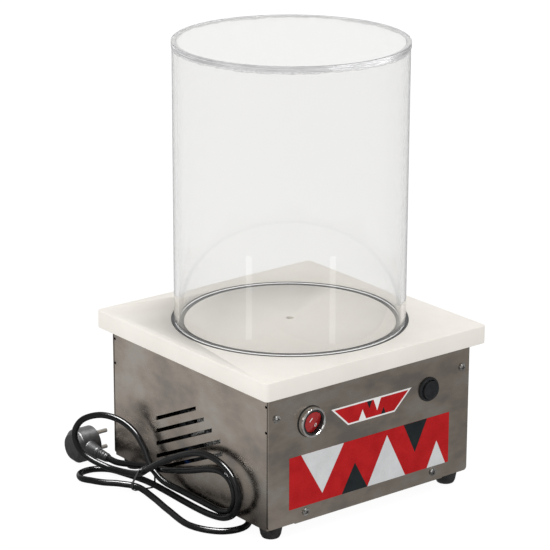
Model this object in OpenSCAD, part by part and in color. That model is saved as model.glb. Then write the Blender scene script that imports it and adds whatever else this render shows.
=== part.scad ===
// Table-top vacuum bell machine: a clear acrylic bell stands on a sealed plastic board, on top of
// a sheet-steel casing that holds a motor-driven rotary vane pump, a power switch and an air
// release button. Units are millimetres, +Z is up, the front panel faces -Y, and the origin is
// the centre of the footprint on the table.

/* [Casing] */
// Width and depth of the sheet-steel casing
case_w = 275; // [272:1:280]
// Height of the casing between the feet and the board
case_h = 148; // [146:1:152]
// Thickness of the stainless sheet
sheet_t = 1.2; // [1:0.1:1.5]
// Height of the rubber feet
foot_h = 14; // [13:0.5:18]
// Distance of each foot from the middle, along X and Y
foot_at = 121.5; // [116:0.5:122]

/* [Board] */
// Width and depth of the board
board_w = 300; // [292:1:310]
// Thickness of the board
board_t = 20; // [18:1:24]
// Corner radius of the board
board_r = 5; // [3:1:10]

/* [Bell] */
// Outer diameter of the acrylic tube
tube_d = 250; // [246:1:252]
// Wall of the acrylic tube
tube_wall = 5; // [4:0.5:6]
// Height of the bell, from the board to its top
bell_h = 306; // [250:1:340]
// Thickness of the disc that closes the bell
disc_t = 6; // [5:0.5:10]

/* [Controls] */
// Distance of the release button from the middle
control_x = 79.5; // [76:0.5:84]
// Height of the release button above the table
control_z = 121.5; // [120:0.5:123]
// Distance of the switch from the middle
switch_x = 82.5; // [80:0.5:84]
// Height of the switch above the table
switch_z = 123.3; // [121:0.1:124]
// Angle that the switch rocker turns from off to on
rocker_turn = 20; // [14:1:20]
// Travel of the release button
release_travel = 4; // [3:0.5:4]

/* [Drive] */
// Height of the motor and pump axis above the table
axis_z = 80; // [79:0.5:82]
// Outer diameter of the motor can
motor_d = 92; // [90:1:92]
// Offset of the pump bore above the rotor axis
pump_offset = 4.5; // [4:0.1:4.6]

/* [Hoses and lead] */
// Outer diameter of the silicone hoses
hose_d = 10; // [9:0.5:10]
// Diameter of the mains lead
cord_d = 7; // [6.5:0.1:7]

/* [Hidden] */

$fn = 64;
eps = 0.01;
case_half = case_w / 2;
case_top = foot_h + case_h;
board_top = case_top + board_t;
bell_top = board_top + bell_h;
inner_half = case_half - sheet_t;
floor_z = foot_h + sheet_t;

// Folded tabs of the side walls, behind the front and back panels
tab_h = 26;
tab_reach = 19;
tab_z = 136;
tab_relief = 1.6;
tab_y = inner_half - sheet_t - 0.1;
flange_half = 96;
flange_h = 15;

// Panel screws: two in the tabs and two in the bottom flange of each panel
screw_r = 2.5;
screw_at = [[-127, tab_z], [127, tab_z], [-88, 24.5], [88, 24.5]];
screw_head_r = 4.3;

// Labels on the front panel: the lower one's corner and size, the upper one's heights and half widths
label_t = 0.25;
lower_label_at = [-110, 31];
lower_label_size = [220, 57.5];
upper_label_z = [107, 129];
upper_label_half = [32, 55];

// Brackets that hold the board to the side walls
bracket_at = [-70, 70];
bracket_w = 30;
bracket_leg = 18;

// Seal groove in the board
seal_out_r = 128.3;
seal_in_r = 114.5;
seal_t = 4;

// Cement bead and overhang of the disc
cement_h = 3.6;
disc_over = 0.8;

// Vent slots in the left wall: front end and height of the back end of each slot
vent_back_y = 58;
vent_slope = 0.46;
vent_w = 4.6;
vent_pitch = 14.5;
vent_first_z = 80;
vent_front_y = [-14, -28, -42, -57, -60];

// Switch and release valve, seen along Y
rocker_r = 11.3;
rocker_pivot_y = -case_half - 4;
bezel_r = 16.3;
bezel_out = 6.8;
rocker_face = 1.5;
rocker_slope = rocker_turn / 2;
collar_r = 13.5;
cap_r = 10.4;
stem_r = 3;

// Motor and pump along X
shaft_r = 6;
bearing_r = 14;
pump_bore_r = 27;
pump_rotor_r = pump_bore_r - pump_offset - 0.3;
pump_r = 40;
pump_x = [18, 48];
port_x = 33;
pump_pcd_r = 34;
vane_n = 4;
vane_w = 3;
vane_in_r = 10;
can_x = [-84, 4];
core_x = [-62, -18];
fan_x = [-108, -95];
wire_r = 1.25;

// Hose runs
hose_r = hose_d / 2;
hose_in_r = 3;
barb_r = 2.95;
bend_r = 16;
hose_z = 152;
hose_y = -112;

// Feet and mounts of the motor bracket
mount_at = [[-72, -34], [-72, 34], [46, -34], [46, 34]];
mount_top = 25;
bracket_t = 2.5;

// Route of the mains lead, from its strain relief to the plug
cord_r = cord_d / 2;
lead_x = -50;
lead_z = 42;
relief_end = 172;
cord_path = [
  [-50, 172, 42], [-50, 190, 41], [-47, 214, 31], [-34, 236, 15], [-10, 242, 4.5],
  [12, 226, 3.6], [18, 194, 3.6], [4, 154, 3.6], [-36, 72, 3.6], [-82, -24, 3.6],
  [-106, -66, 3.6], [-132, -92, 3.6], [-160, -86, 3.6], [-176, -54, 3.6], [-170, -8, 3.6],
  [-163, 28, 3.8], [-163.5, 56, 7.2], [-175, 74, 8.4], [-186, 88, 8], [-192.5, 101, 7.5],
  [-196, 117.5, 6], [-186.5, 133, 4.5], [-169, 136, 3.6], [-154, 124.5, 3.6], [-147, 102, 3.6],
  [-143.5, 78, 4.4], [-143.2, 57, 5.3], [-142.2, 30, 4.2], [-142.5, 4, 3.6], [-143.5, -25, 3.9],
  [-145.5, -52, 6.5], [-148, -77, 12.5], [-149, -95, 23.5], [-149.5, -103.5, 40],
  [-149, -99, 57], [-149, -81, 70], [-149, -54, 74.5], [-150, -28, 70], [-151.5, -2, 59],
  [-155, 26, 43.5], [-157.6, 47, 29.5], [-156, 65, 18.5], [-159, 90, 13], [-168, 116, 14.5],
  [-180, 138, 25.5], [-183.5, 148, 44], [-178, 141.5, 62], [-166, 123, 71], [-156, 101, 69.5],
  [-151, 80, 61], [-149, 64, 46], [-150, 50, 29.5], [-148, 31, 18.5], [-143, 3, 14.5],
  [-141.5, -28, 13.3], [-141.5, -48, 13.2], [-141.5, -64, 14], [-141.5, -79.5, 20.3],
  [-141.5, -86.2, 36], [-141.5, -79.5, 52], [-141.5, -63, 58], [-141.5, -40, 53.5],
  [-141.5, -10, 42.5], [-142, 20, 33], [-142.2, 45, 26.5], [-144, 72, 22], [-149.5, 94, 18.5],
  [-155, 108, 17.5], [-158, 120, 19]
];
cord_rings = 90;

// Band round the four strands of the folded lead
tie_y = [58, 62];
tie_low = [-171.6, 1.1];
tie_high = [-139.2, 28.2];
tie_t = 1;
tie_r = 3.5;

// Plug at the end of the lead: its axis lies along X and its cable entry points to -Y
plug_at = [-158, 172, 19];
plug_r = 19;
plug_x = [-14, 14];
plug_entry = 52;
pin_r = 2.4;
pin_reach = 19;
pin_half_pitch = 9.5;

// ---------- helpers ----------

// A cylinder along +X from x0 to x1, centred on (y, z)
module rod_x(x0, x1, r, y = 0, z = 0) {
  translate([x0, y, z]) rotate([0, 90, 0]) cylinder(h = x1 - x0, r = r);
}

// A cylinder along +Y from y0 to y1, centred on (x, z)
module rod_y(y0, y1, r, x = 0, z = 0) {
  translate([x, y0, z]) rotate([-90, 0, 0]) cylinder(h = y1 - y0, r = r);
}

// A cylinder along +Z from z0 to z1, centred on (x, y)
module rod_z(z0, z1, r, x = 0, y = 0) {
  translate([x, y, z0]) cylinder(h = z1 - z0, r = r);
}

// A box between two corners
module block(low, high) {
  translate(low) cube(high - low);
}

// Places its children, drawn along +Z, so that they point to the front from a panel's face
module on_front(x, z, y = -case_half) {
  translate([x, y, z]) rotate([90, 0, 0]) children();
}

// A straight hose between two points along one axis, given as a length and a direction
module hose_run(length) {
  difference() {
    cylinder(h = length, r = hose_r);
    translate([0, 0, -eps]) cylinder(h = length + 2 * eps, r = hose_in_r);
  }
}

// A quarter bend of hose, from +X at the angle 0 round to +Y
module hose_bend() {
  rotate_extrude(angle = 90) translate([bend_r, 0]) difference() {
    circle(r = hose_r);
    circle(r = hose_in_r);
  }
}

// Point of a Catmull-Rom curve through a list of points, in span i at the share t
function curve_at(p, i, t) =
  let (a = p[max(i - 1, 0)], b = p[i], c = p[i + 1], d = p[min(i + 2, len(p) - 1)])
  0.5 * (2 * b + (c - a) * t + (2 * a - 5 * b + 4 * c - d) * t * t
    + (3 * b - a - 3 * c + d) * t * t * t);

// The curve through all the points, cut into n equal steps of its parameter
function curve(p, n) = [for (k = [0 : n])
  let (u = (len(p) - 1) * k / n, i = min(floor(u), len(p) - 2)) curve_at(p, i, u - i)];

function unit(v) = v / norm(v);

// A round tube of constant radius swept along a list of points
module swept_tube(line, r, sides = 8) {
  last = len(line) - 1;
  way = [for (i = [0 : last]) unit(line[min(i + 1, last)] - line[max(i - 1, 0)])];
  across = [for (w = way) abs(w[2]) > 0.9 ? unit(cross(w, [1, 0, 0])) : unit(cross(w, [0, 0, 1]))];
  rings = [for (i = [0 : last], k = [0 : sides - 1])
    let (up = cross(across[i], way[i]), a = 360 * k / sides)
    line[i] + r * (cos(a) * across[i] + sin(a) * up)];
  skin = [for (i = [0 : last - 1], k = [0 : sides - 1])
    let (n = (k + 1) % sides)
    [i * sides + k, i * sides + n, (i + 1) * sides + n, (i + 1) * sides + k]];
  first_cap = [[for (k = [sides - 1 : -1 : 0]) k]];
  last_cap = [[for (k = [0 : sides - 1]) last * sides + k]];
  polyhedron(points = rings, faces = concat(skin, first_cap, last_cap), convexity = 10);
}

// ---------- casing ----------

// Outline of a slanted vent slot in the plane of the left wall, as (y, z)
module vent_slot(i) {
  back_z = vent_first_z - i * vent_pitch;
  front_z = back_z + (vent_back_y - vent_front_y[i]) * vent_slope;
  polygon([[vent_back_y, back_z - vent_w / 2], [vent_front_y[i], front_z - vent_w / 2],
    [vent_front_y[i], front_z + vent_w / 2], [vent_back_y, back_z + vent_w / 2]]);
}

// One side wall with its folded tabs and relief cuts, at the left of the casing
module side_wall() {
  difference() {
    union() {
      block([-case_half, -tab_y, foot_h], [-inner_half, tab_y, case_top]);
      for (s = [-1, 1]) block([-case_half, min(s * tab_y, s * (tab_y - sheet_t)), tab_z - tab_h / 2],
        [-case_half + tab_reach, max(s * tab_y, s * (tab_y - sheet_t)), tab_z + tab_h / 2]);
    }
    for (s = [-1, 1]) {
      rod_x(-case_half - 1, -inner_half + 1, tab_relief, s * (tab_y - 1.5), tab_z + tab_h / 2 + 1);
      rod_x(-case_half - 1, -inner_half + 1, tab_relief, s * (tab_y - 1.5), tab_z - tab_h / 2 - 1);
      rod_y(min(s * (tab_y - 3), s * (tab_y + 1)), max(s * (tab_y - 3), s * (tab_y + 1)),
        screw_r + 0.1, screw_at[0][0], tab_z);
    }
  }
}

module body_shell() {
  color("silver") difference() {
    union() {
      side_wall();
      mirror([1, 0, 0]) side_wall();
      block([-case_half, -tab_y, foot_h], [case_half, tab_y, floor_z]);
      for (s = [-1, 1]) block([-flange_half, min(s * tab_y, s * (tab_y - sheet_t)), foot_h],
        [flange_half, max(s * tab_y, s * (tab_y - sheet_t)), foot_h + flange_h]);
    }
    for (i = [0 : len(vent_front_y) - 1]) translate([-case_half - 1, 0, 0])
      rotate([90, 0, 90]) linear_extrude(sheet_t + 2) vent_slot(i);
    for (x = [-1, 1], y = [-1, 1]) rod_z(foot_h - 1, floor_z + 1, 2.1, x * foot_at, y * foot_at);
    for (p = mount_at) rod_z(foot_h - 1, floor_z + 1, screw_r + 0.1, p[0], p[1]);
    for (x = [-1, 1], s = [-1, 1]) rod_y(min(s * (tab_y - 3), s * (tab_y + 1)),
      max(s * (tab_y - 3), s * (tab_y + 1)), screw_r + 0.1, x * screw_at[3][0], screw_at[3][1]);
  }
}

// Outline of the front and back panels, as (x, z): the lower edge dips between the flange's ends
module panel_outline() {
  round_r = 4;
  dip = 1;
  difference() {
    union() {
      translate([-case_half, foot_h + dip + round_r]) square([case_w, case_h - dip - round_r]);
      translate([-case_half + round_r, foot_h + dip]) square([case_w - 2 * round_r, round_r]);
      for (s = [-1, 1]) translate([s * (case_half - round_r), foot_h + dip + round_r]) circle(round_r);
      translate([-flange_half - 6, foot_h]) square([2 * flange_half + 12, 2 * dip]);
    }
    for (p = screw_at) translate(p) circle(screw_r + 0.2);
  }
}

module front_panel() {
  color("silver") difference() {
    translate([0, -inner_half, 0]) rotate([90, 0, 0]) linear_extrude(sheet_t) panel_outline();
    rod_y(-case_half - 1, -inner_half + 1, 13.3, -switch_x, switch_z);
    rod_y(-case_half - 1, -inner_half + 1, 12.2, control_x, control_z);
  }
}

module back_panel() {
  color("silver") difference() {
    translate([0, case_half, 0]) rotate([90, 0, 0]) linear_extrude(sheet_t) panel_outline();
    rod_y(inner_half - 1, case_half + 1, 8.1, lead_x, lead_z);
    for (i = [0 : 4]) level_slot([60, inner_half - 1, 60 + 12 * i]);
  }
}

// A level slot through the back panel, 60 long, with round ends
module level_slot(at) {
  translate(at) {
    translate([-30, 0, -1.65]) cube([60, sheet_t + 2, 3.3]);
    for (s = [-1, 1]) translate([s * 30, 0, 0]) rotate([-90, 0, 0]) cylinder(h = sheet_t + 2, r = 1.65);
  }
}

// Button-head screw along -Y: the head's flat side rests on the panel, the shank points inwards
module panel_screw() {
  difference() {
    union() {
      intersection() {
        cylinder(h = 2.6, r = screw_head_r);
        translate([0, 0, 2.6 - 7.2]) sphere(r = 7.2);
      }
      translate([0, 0, -9]) cylinder(h = 9, r = screw_r);
    }
    for (a = [0, 90]) rotate([0, 0, a]) translate([-2.1, -0.45, 1]) cube([4.2, 0.9, 2]);
    translate([0, 0, 1]) cylinder(h = 2, r = 1.1);
  }
}

module panel_screws() {
  color("gainsboro") for (back = [0, 1], p = screw_at) mirror([0, back, 0])
    on_front(p[0], p[1]) rotate([0, 0, 45 + p[0]]) panel_screw();
}

module rubber_foot() {
  difference() {
    rotate_extrude() union() {
      polygon([[0, 2], [10.6, 2], [12.8, foot_h], [0, foot_h]]);
      square([8.6, 2.5]);
      translate([8.6, 2]) circle(r = 2);
    }
    rod_z(-1, 6, 5);
    rod_z(5, foot_h + 1, 2.1);
  }
}

module rubber_feet() {
  color("black") for (x = [-1, 1], y = [-1, 1]) translate([x * foot_at, y * foot_at, 0]) rubber_foot();
}

// Pan-head M4 screw that points up, with the underside of its head at z = 0
module m4_screw() {
  difference() {
    union() {
      rod_z(-2.6, 0, 3.9);
      rod_z(-0.1, 15, 2);
    }
    for (a = [0, 90]) rotate([0, 0, a]) translate([-2.4, -0.4, -3]) cube([4.8, 0.8, 1.8]);
  }
}

// Four hold the feet and four hold the board's brackets to the board
module m4_screws() {
  color("gray") {
    for (x = [-1, 1], y = [-1, 1]) translate([x * foot_at, y * foot_at, 6]) m4_screw();
    for (s = [-1, 1], y = bracket_at) translate([s * (inner_half - 10), y, case_top - 2]) m4_screw();
  }
}

module foot_nuts() {
  color("gray") for (x = [-1, 1], y = [-1, 1]) translate([x * foot_at, y * foot_at, floor_z])
    difference() {
      cylinder(h = 3.2, r = 4.04, $fn = 6);
      translate([0, 0, -1]) cylinder(h = 6, r = 2.05);
    }
}

// ---------- labels ----------

module lower_label() {
  color("firebrick") translate([lower_label_at[0], -case_half, lower_label_at[1]])
    rotate([90, 0, 0]) linear_extrude(label_t) square(lower_label_size);
}

module upper_label() {
  color("white") translate([0, -case_half, 0]) rotate([90, 0, 0]) linear_extrude(label_t)
    polygon([[-upper_label_half[0], upper_label_z[0]], [upper_label_half[0], upper_label_z[0]],
      [upper_label_half[1], upper_label_z[1]], [-upper_label_half[1], upper_label_z[1]]]);
}

// ---------- board ----------

module top_board() {
  flat = board_w - 2 * board_r;
  color("ivory") difference() {
    translate([0, 0, case_top]) linear_extrude(board_t) union() {
      square([board_w, flat], center = true);
      square([flat, board_w], center = true);
      for (x = [-1, 1], y = [-1, 1]) translate([x, y] * (board_w / 2 - board_r)) circle(board_r);
    }
    translate([0, 0, board_top - seal_t]) difference() {
      cylinder(h = seal_t + 1, r = seal_out_r + 0.05);
      translate([0, 0, -1]) cylinder(h = seal_t + 3, r = seal_in_r - 0.05);
    }
    rod_z(case_top - 1, board_top + 1, 4.25);
    rod_z(case_top - 1, case_top + 12, 6.05);
    for (s = [-1, 1], y = bracket_at)
      rod_z(case_top - 1, case_top + 14, 2.05, s * (inner_half - 10), y);
  }
}

module board_brackets() {
  color("silver") for (s = [-1, 1], y = bracket_at) mirror([s > 0 ? 1 : 0, 0, 0]) difference() {
    union() {
      block([-inner_half, y - bracket_w / 2, case_top - bracket_leg],
        [-inner_half + 2, y + bracket_w / 2, case_top]);
      block([-inner_half, y - bracket_w / 2, case_top - 2],
        [-inner_half + bracket_leg, y + bracket_w / 2, case_top]);
    }
    rod_z(case_top - 4, case_top + 1, 2.3, -inner_half + 10, y);
  }
}

module bell_seal() {
  color("black") translate([0, 0, board_top - seal_t]) difference() {
    cylinder(h = seal_t, r = seal_out_r);
    translate([0, 0, -1]) cylinder(h = seal_t + 2, r = seal_in_r);
  }
}

// ---------- bell ----------

module bell_tube() {
  color("lightcyan", 0.4) difference() {
    rod_z(board_top + eps, bell_top - disc_t, tube_d / 2);
    rod_z(board_top - 1, bell_top + 1, tube_d / 2 - tube_wall);
  }
}

module bell_disc() {
  color("lightcyan", 0.4) rod_z(bell_top - disc_t, bell_top, tube_d / 2 + disc_over);
}

// The bead of cement that runs round the tube, under the edge of the disc
module bell_cement() {
  color("white", 0.5) rotate_extrude() translate([tube_d / 2 + 0.02, bell_top - disc_t])
    polygon([[0, 0], [disc_over, 0], [disc_over * 0.6, -cement_h * 0.6], [0, -cement_h]]);
}

// ---------- power switch ----------

// Turns the rocker about its own diagonal axis
module rocker_tilt(angle) {
  translate([-switch_x, rocker_pivot_y, switch_z]) rotate(a = angle, v = [1, 0, 1]) children();
}

module switch_bezel() {
  lip = (bezel_r - 13.3) / 2;
  color("gainsboro") on_front(-switch_x, switch_z) rotate_extrude() union() {
    translate([13.3, 0]) square([2 * lip, bezel_out - lip]);
    translate([13.3 + lip, bezel_out - lip]) circle(r = lip);
  }
}

module switch_body() {
  color("black") difference() {
    union() {
      on_front(-switch_x, switch_z, -case_half + 25) cylinder(h = 30.6, r = 13.15);
      on_front(-switch_x, switch_z, -inner_half + 23.8) cylinder(h = 12, r = 13.25);
    }
    on_front(-switch_x, switch_z, -case_half + 6) cylinder(h = 20, r = rocker_r + 0.5);
    rocker_tilt(0) rotate([0, 45, 0]) translate([0, 0, -12.9]) cylinder(h = 25.8, r = 1.25);
  }
}

module switch_nut() {
  color("black") rod_ring_y(-inner_half, -inner_half + 4, 13.35, 17.5, -switch_x, switch_z);
}

// A ring round an axis along Y
module rod_ring_y(y0, y1, r_in, r_out, x, z) {
  difference() {
    rod_y(y0, y1, r_out, x, z);
    rod_y(y0 - 1, y1 + 1, r_in, x, z);
  }
}

// A slab of a ball round the pivot, with two flats that meet in a shallow valley
module switch_rocker() {
  color("red") rocker_tilt(rocker_slope) rotate([0, 45, 0]) {
    intersection() {
      sphere(r = rocker_r);
      union() for (s = [-1, 1]) intersection() {
        translate([s * 10, -10 + 6, 0]) cube([20, 20, 30], center = true);
        rotate([0, 0, s * rocker_slope]) translate([-20, -rocker_face, -15]) cube([40, 20, 30]);
      }
      translate([-15, -9, -15]) cube([30, 15, 30]);
    }
    translate([0, 0, -12.5]) cylinder(h = 25, r = 1.2);
  }
}

module switch_blades() {
  color("goldenrod") for (s = [-1, 1], k = [-1, 1])
    translate([-switch_x + s * 6, -case_half + 25, switch_z + k * 5]) translate([-0.4, 0, -2.4])
      cube([0.8, 9, 4.8]);
}

// ---------- air release valve ----------

module release_collar() {
  color("black") difference() {
    union() {
      on_front(control_x, control_z) rotate_extrude() union() {
        square([collar_r - 1.4, 3]);
        square([collar_r, 1.6]);
        translate([collar_r - 1.4, 1.6]) circle(r = 1.4);
      }
      rod_y(-case_half - 0.5, -case_half + 18, 12, control_x, control_z);
    }
    rod_y(-case_half - 4, -case_half + release_travel + 2, cap_r + 0.3, control_x, control_z);
    rod_y(-case_half, -case_half + 25, stem_r + 0.06, control_x, control_z);
    rod_y(-case_half + 10, -case_half + 25, 8.05, control_x, control_z);
  }
}

module release_nut() {
  color("gray") rod_ring_y(-inner_half, -inner_half + 5, 12.05, 16.5, control_x, control_z);
}

module release_cap() {
  color("black") on_front(control_x, control_z) difference() {
    rotate_extrude() {
      translate([0, 0.4]) square([cap_r - 1.5, 5]);
      translate([0, 0.4]) square([cap_r, 3.5]);
      translate([cap_r - 1.5, 3.9]) circle(r = 1.5);
    }
    translate([0, 0, -1]) difference() {
      cylinder(h = 4.4, r = 8);
      translate([0, 0, -1]) cylinder(h = 7, r = 4);
    }
    translate([0, 0, -1]) cylinder(h = 4, r = stem_r - 0.07);
  }
}

// Compression spring between the web of the collar and the underside of the cap
module release_spring() {
  turns = 4;
  steps = 12;
  coil_r = 5.4;
  low = -case_half + 5.5;
  high = -case_half - 2.8;
  color("silver") translate([control_x, 0, control_z]) swept_tube(
    [for (k = [0 : turns * steps]) let (a = 360 * k / steps)
      [coil_r * cos(a), low + (high - low) * k / (turns * steps), coil_r * sin(a)]], 0.4, 6);
}

module release_plunger() {
  color("goldenrod") translate([control_x, 0, control_z]) {
    rod_y(-case_half - 2.9, -case_half + 21.2, stem_r - 0.1);
    rod_y(-case_half + 21, -case_half + 22.5, 4.6);
  }
}

module release_seal() {
  color("black") translate([control_x, -case_half + 20, control_z]) rotate([-90, 0, 0])
    rotate_extrude() translate([3.75, 0]) circle(r = 0.84, $fn = 24);
}

// Brass body with the air chamber, its hose barb on top, closed at the back
module valve_body() {
  y_in = -case_half + 10;
  color("goldenrod") difference() {
    union() {
      rod_y(y_in, y_in + 30, 8, control_x, control_z);
      rod_z(control_z + 6, control_z + 14, barb_r, control_x, hose_y);
    }
    rod_y(y_in - 1, y_in + 10, stem_r + 0.06, control_x, control_z);
    rod_y(y_in + 9, y_in + 27, 5.4, control_x, control_z);
    rod_z(control_z, control_z + 15, 1.6, control_x, hose_y);
  }
}

// ---------- hoses ----------

// A hose barb along +Z: three shallow cones
module barb(length) {
  cylinder(h = length, r = barb_r - 0.35);
  for (k = [0 : 2]) translate([0, 0, length * k / 3])
    cylinder(h = length / 3, r1 = barb_r, r2 = barb_r - 0.3);
}

module port_elbow() {
  color("goldenrod") difference() {
    union() {
      rod_z(hose_z - 9, case_top - 4, 8);
      rod_z(case_top - 4, case_top, 13);
      rod_z(case_top - 1, case_top + 11.9, 6);
      rod_y(-12, 0, 5, 0, hose_z);
      translate([0, -12, hose_z]) rotate([90, 0, 0]) barb(15);
    }
    rod_z(hose_z, case_top + 13, 2.5);
    rod_y(-28, 0, 1.6, 0, hose_z);
  }
}

module tee_fitting() {
  color("white") translate([port_x, hose_y, hose_z]) difference() {
    union() {
      rod_x(-7, 7, 4.6);
      rod_z(-7, 0, 4.6);
      translate([-6.9, 0, 0]) rotate([0, -90, 0]) barb(10);
      translate([6.9, 0, 0]) rotate([0, 90, 0]) barb(10);
      translate([0, 0, -6.9]) rotate([180, 0, 0]) barb(10);
    }
    rod_x(-18, 18, 1.6);
    rod_z(-18, 0, 1.6);
  }
}

module port_hose() {
  color("white", 0.6) {
    translate([0, -12.5, hose_z]) rotate([90, 0, 0]) hose_run(-hose_y - bend_r - 12.5);
    translate([bend_r, hose_y + bend_r, hose_z]) rotate([0, 0, 180]) hose_bend();
    translate([bend_r, hose_y, hose_z]) rotate([0, 90, 0]) hose_run(port_x - 7.5 - bend_r);
  }
}

module valve_hose() {
  low = control_z + 8.5;
  color("white", 0.6) {
    translate([port_x + 7.5, hose_y, hose_z]) rotate([0, 90, 0])
      hose_run(control_x - bend_r - port_x - 7.5);
    translate([control_x - bend_r, hose_y, hose_z - bend_r]) rotate([90, 0, 0]) hose_bend();
    translate([control_x, hose_y, low]) hose_run(hose_z - bend_r - low);
  }
}

module pump_hose() {
  low = axis_z + bend_r;
  color("white", 0.6) {
    translate([port_x, hose_y, low]) hose_run(hose_z - 7.5 - low);
    translate([port_x, hose_y + bend_r, low]) rotate([0, 90, 0]) rotate([0, 0, -90]) hose_bend();
    translate([port_x, hose_y + bend_r, axis_z]) rotate([-90, 0, 0])
      hose_run(-hose_y - bend_r - 48.5);
  }
}

// Spring clip round a hose end: a ring with a gap between its two lugs
module hose_clip() {
  difference() {
    union() {
      cylinder(h = 5, r = hose_r + 1.05);
      translate([hose_r, -2.5, 0]) cube([6, 5, 5]);
    }
    translate([0, 0, -1]) cylinder(h = 7, r = hose_r + 0.05);
    translate([hose_r - 1, -0.8, -1]) cube([8, 1.6, 7]);
  }
}

module hose_clips() {
  color("gray") {
    translate([0, -14.5, hose_z]) rotate([90, 90, 0]) hose_clip();
    translate([port_x - 14.5, hose_y, hose_z]) rotate([0, 90, 0]) hose_clip();
    translate([port_x + 9.5, hose_y, hose_z]) rotate([0, 90, 0]) hose_clip();
    translate([port_x, hose_y, hose_z - 14.5]) rotate([0, 0, -90]) hose_clip();
    translate([control_x, hose_y, control_z + 9]) hose_clip();
    translate([port_x, -56, axis_z]) rotate([90, 0, 0]) hose_clip();
  }
}

// ---------- pump ----------

// The four holes or screws on the face of the pump, along +X, set round the rotor's axis
module on_pump_face(x) {
  for (a = [45 : 90 : 315]) translate([x, pump_pcd_r * cos(a), axis_z + pump_pcd_r * sin(a)])
    rotate([0, 90, 0]) children();
}

module pump_housing() {
  color("lightgray") difference() {
    union() {
      rod_x(pump_x[0] - 8, pump_x[0], pump_r + 2, 0, axis_z);
      rod_x(pump_x[0], pump_x[1], pump_r, 0, axis_z);
      for (k = [0 : 8]) rod_x(pump_x[0] + 2.5 + 3 * k, pump_x[0] + 4 + 3 * k, pump_r + 3, 0, axis_z);
    }
    rod_x(pump_x[0], pump_x[1] + 1, pump_bore_r, 0, axis_z + pump_offset);
    rod_x(pump_x[0] - 9, pump_x[0] + 1, shaft_r + 0.6, 0, axis_z);
    rod_y(-pump_r - 4, -20, 4.05, port_x, axis_z);
    rod_y(20, pump_r + 4, 4.05, port_x, axis_z);
    on_pump_face(pump_x[1] - 16) cylinder(h = 17, r = 2.05);
  }
}

module pump_cover() {
  color("lightgray") difference() {
    union() {
      rod_x(pump_x[1], pump_x[1] + 6, pump_r, 0, axis_z);
      rod_x(pump_x[1] + 5, pump_x[1] + 9, 14, 0, axis_z);
    }
    rod_x(pump_x[1] - 1, pump_x[1] + 5, shaft_r + 0.05, 0, axis_z);
    on_pump_face(pump_x[1] - 1) cylinder(h = 8, r = 2.2);
  }
}

module pump_screws() {
  color("dimgray") on_pump_face(pump_x[1] - 14) difference() {
    union() {
      cylinder(h = 20.1, r = 2);
      translate([0, 0, 20]) cylinder(h = 4, r = 3.5);
    }
    translate([0, 0, 21.5]) cylinder(h = 4, r = 1.7, $fn = 6);
  }
}

module pump_rotor() {
  color("dimgray") difference() {
    rod_x(pump_x[0] + 0.3, pump_x[1] - 0.3, pump_rotor_r, 0, axis_z);
    rod_x(pump_x[0] - 1, pump_x[1] + 1, shaft_r, 0, axis_z);
    for (k = [0 : vane_n - 1]) translate([0, 0, axis_z]) rotate([90 * k + 45, 0, 0])
      block([pump_x[0] - 1, -vane_w / 2 - 0.1, vane_in_r - 0.4], [pump_x[1] + 1, vane_w / 2 + 0.1, 30]);
  }
}

module pump_vanes() {
  color("black") for (k = [0 : vane_n - 1]) translate([0, 0, axis_z]) rotate([90 * k + 45, 0, 0])
    block([pump_x[0] + 0.5, -vane_w / 2, vane_in_r], [pump_x[1] - 0.5, vane_w / 2, pump_rotor_r - 0.3]);
}

module pump_inlet() {
  color("goldenrod") translate([port_x, 0, axis_z]) difference() {
    union() {
      rod_y(-pump_r - 4, -pump_r + 6, 4);
      rotate([90, 0, 0]) translate([0, 0, pump_r + 3.2]) cylinder(h = 5, r = 7, $fn = 6);
      translate([0, -pump_r - 8, 0]) rotate([90, 0, 0]) barb(12);
    }
    rod_y(-pump_r - 25, -pump_r + 7, 1.8);
  }
}

module exhaust_silencer() {
  color("darkgoldenrod") translate([port_x, 0, axis_z]) difference() {
    union() {
      rod_y(pump_r - 6, pump_r + 4, 4);
      rotate([-90, 0, 0]) translate([0, 0, pump_r + 3.2]) cylinder(h = 5, r = 8, $fn = 6);
      rod_y(pump_r + 7.9, pump_r + 24, 7);
    }
    rod_y(pump_r - 7, pump_r + 20, 2.4);
  }
}

// ---------- motor ----------

module tube_x(x0, x1, r_in, r_out) {
  difference() {
    rod_x(x0, x1, r_out, 0, axis_z);
    rod_x(x0 - 1, x1 + 1, r_in, 0, axis_z);
  }
}

module motor_can() {
  color("dimgray") tube_x(can_x[0], can_x[1], motor_d / 2 - 2, motor_d / 2);
}

// End plate at x, with its bearing seat on the side that faces the motor (dir = 1 or -1)
module end_bell(x, dir) {
  translate([x, 0, axis_z]) rotate([0, 90 * dir, 0]) difference() {
    union() {
      cylinder(h = 6, r = motor_d / 2);
      cylinder(h = 12, r = bearing_r + 4);
    }
    translate([0, 0, -1]) cylinder(h = 20, r = shaft_r + 0.6);
    translate([0, 0, 2]) cylinder(h = 20, r = bearing_r + 0.02);
  }
}

module motor_end_bells() {
  color("gray") {
    end_bell(can_x[0] - 6, 1);
    end_bell(can_x[1] + 6, -1);
  }
}

module motor_bearings() {
  color("silver") {
    tube_x(can_x[0] - 4, can_x[0] + 4, shaft_r + 0.05, bearing_r);
    tube_x(can_x[1] - 4, can_x[1] + 4, shaft_r + 0.05, bearing_r);
  }
}

module stator_core() {
  color("slategray") tube_x(core_x[0], core_x[1], 25.3, motor_d / 2 - 2.02);
}

module stator_windings() {
  color("chocolate") {
    tube_x(core_x[0] - 12, core_x[0], 27, 39);
    tube_x(core_x[1], core_x[1] + 9, 27, 39);
  }
}

module motor_rotor() {
  color("lightslategray") tube_x(core_x[0] - 3, core_x[1] + 3, shaft_r, 24.8);
}

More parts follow.
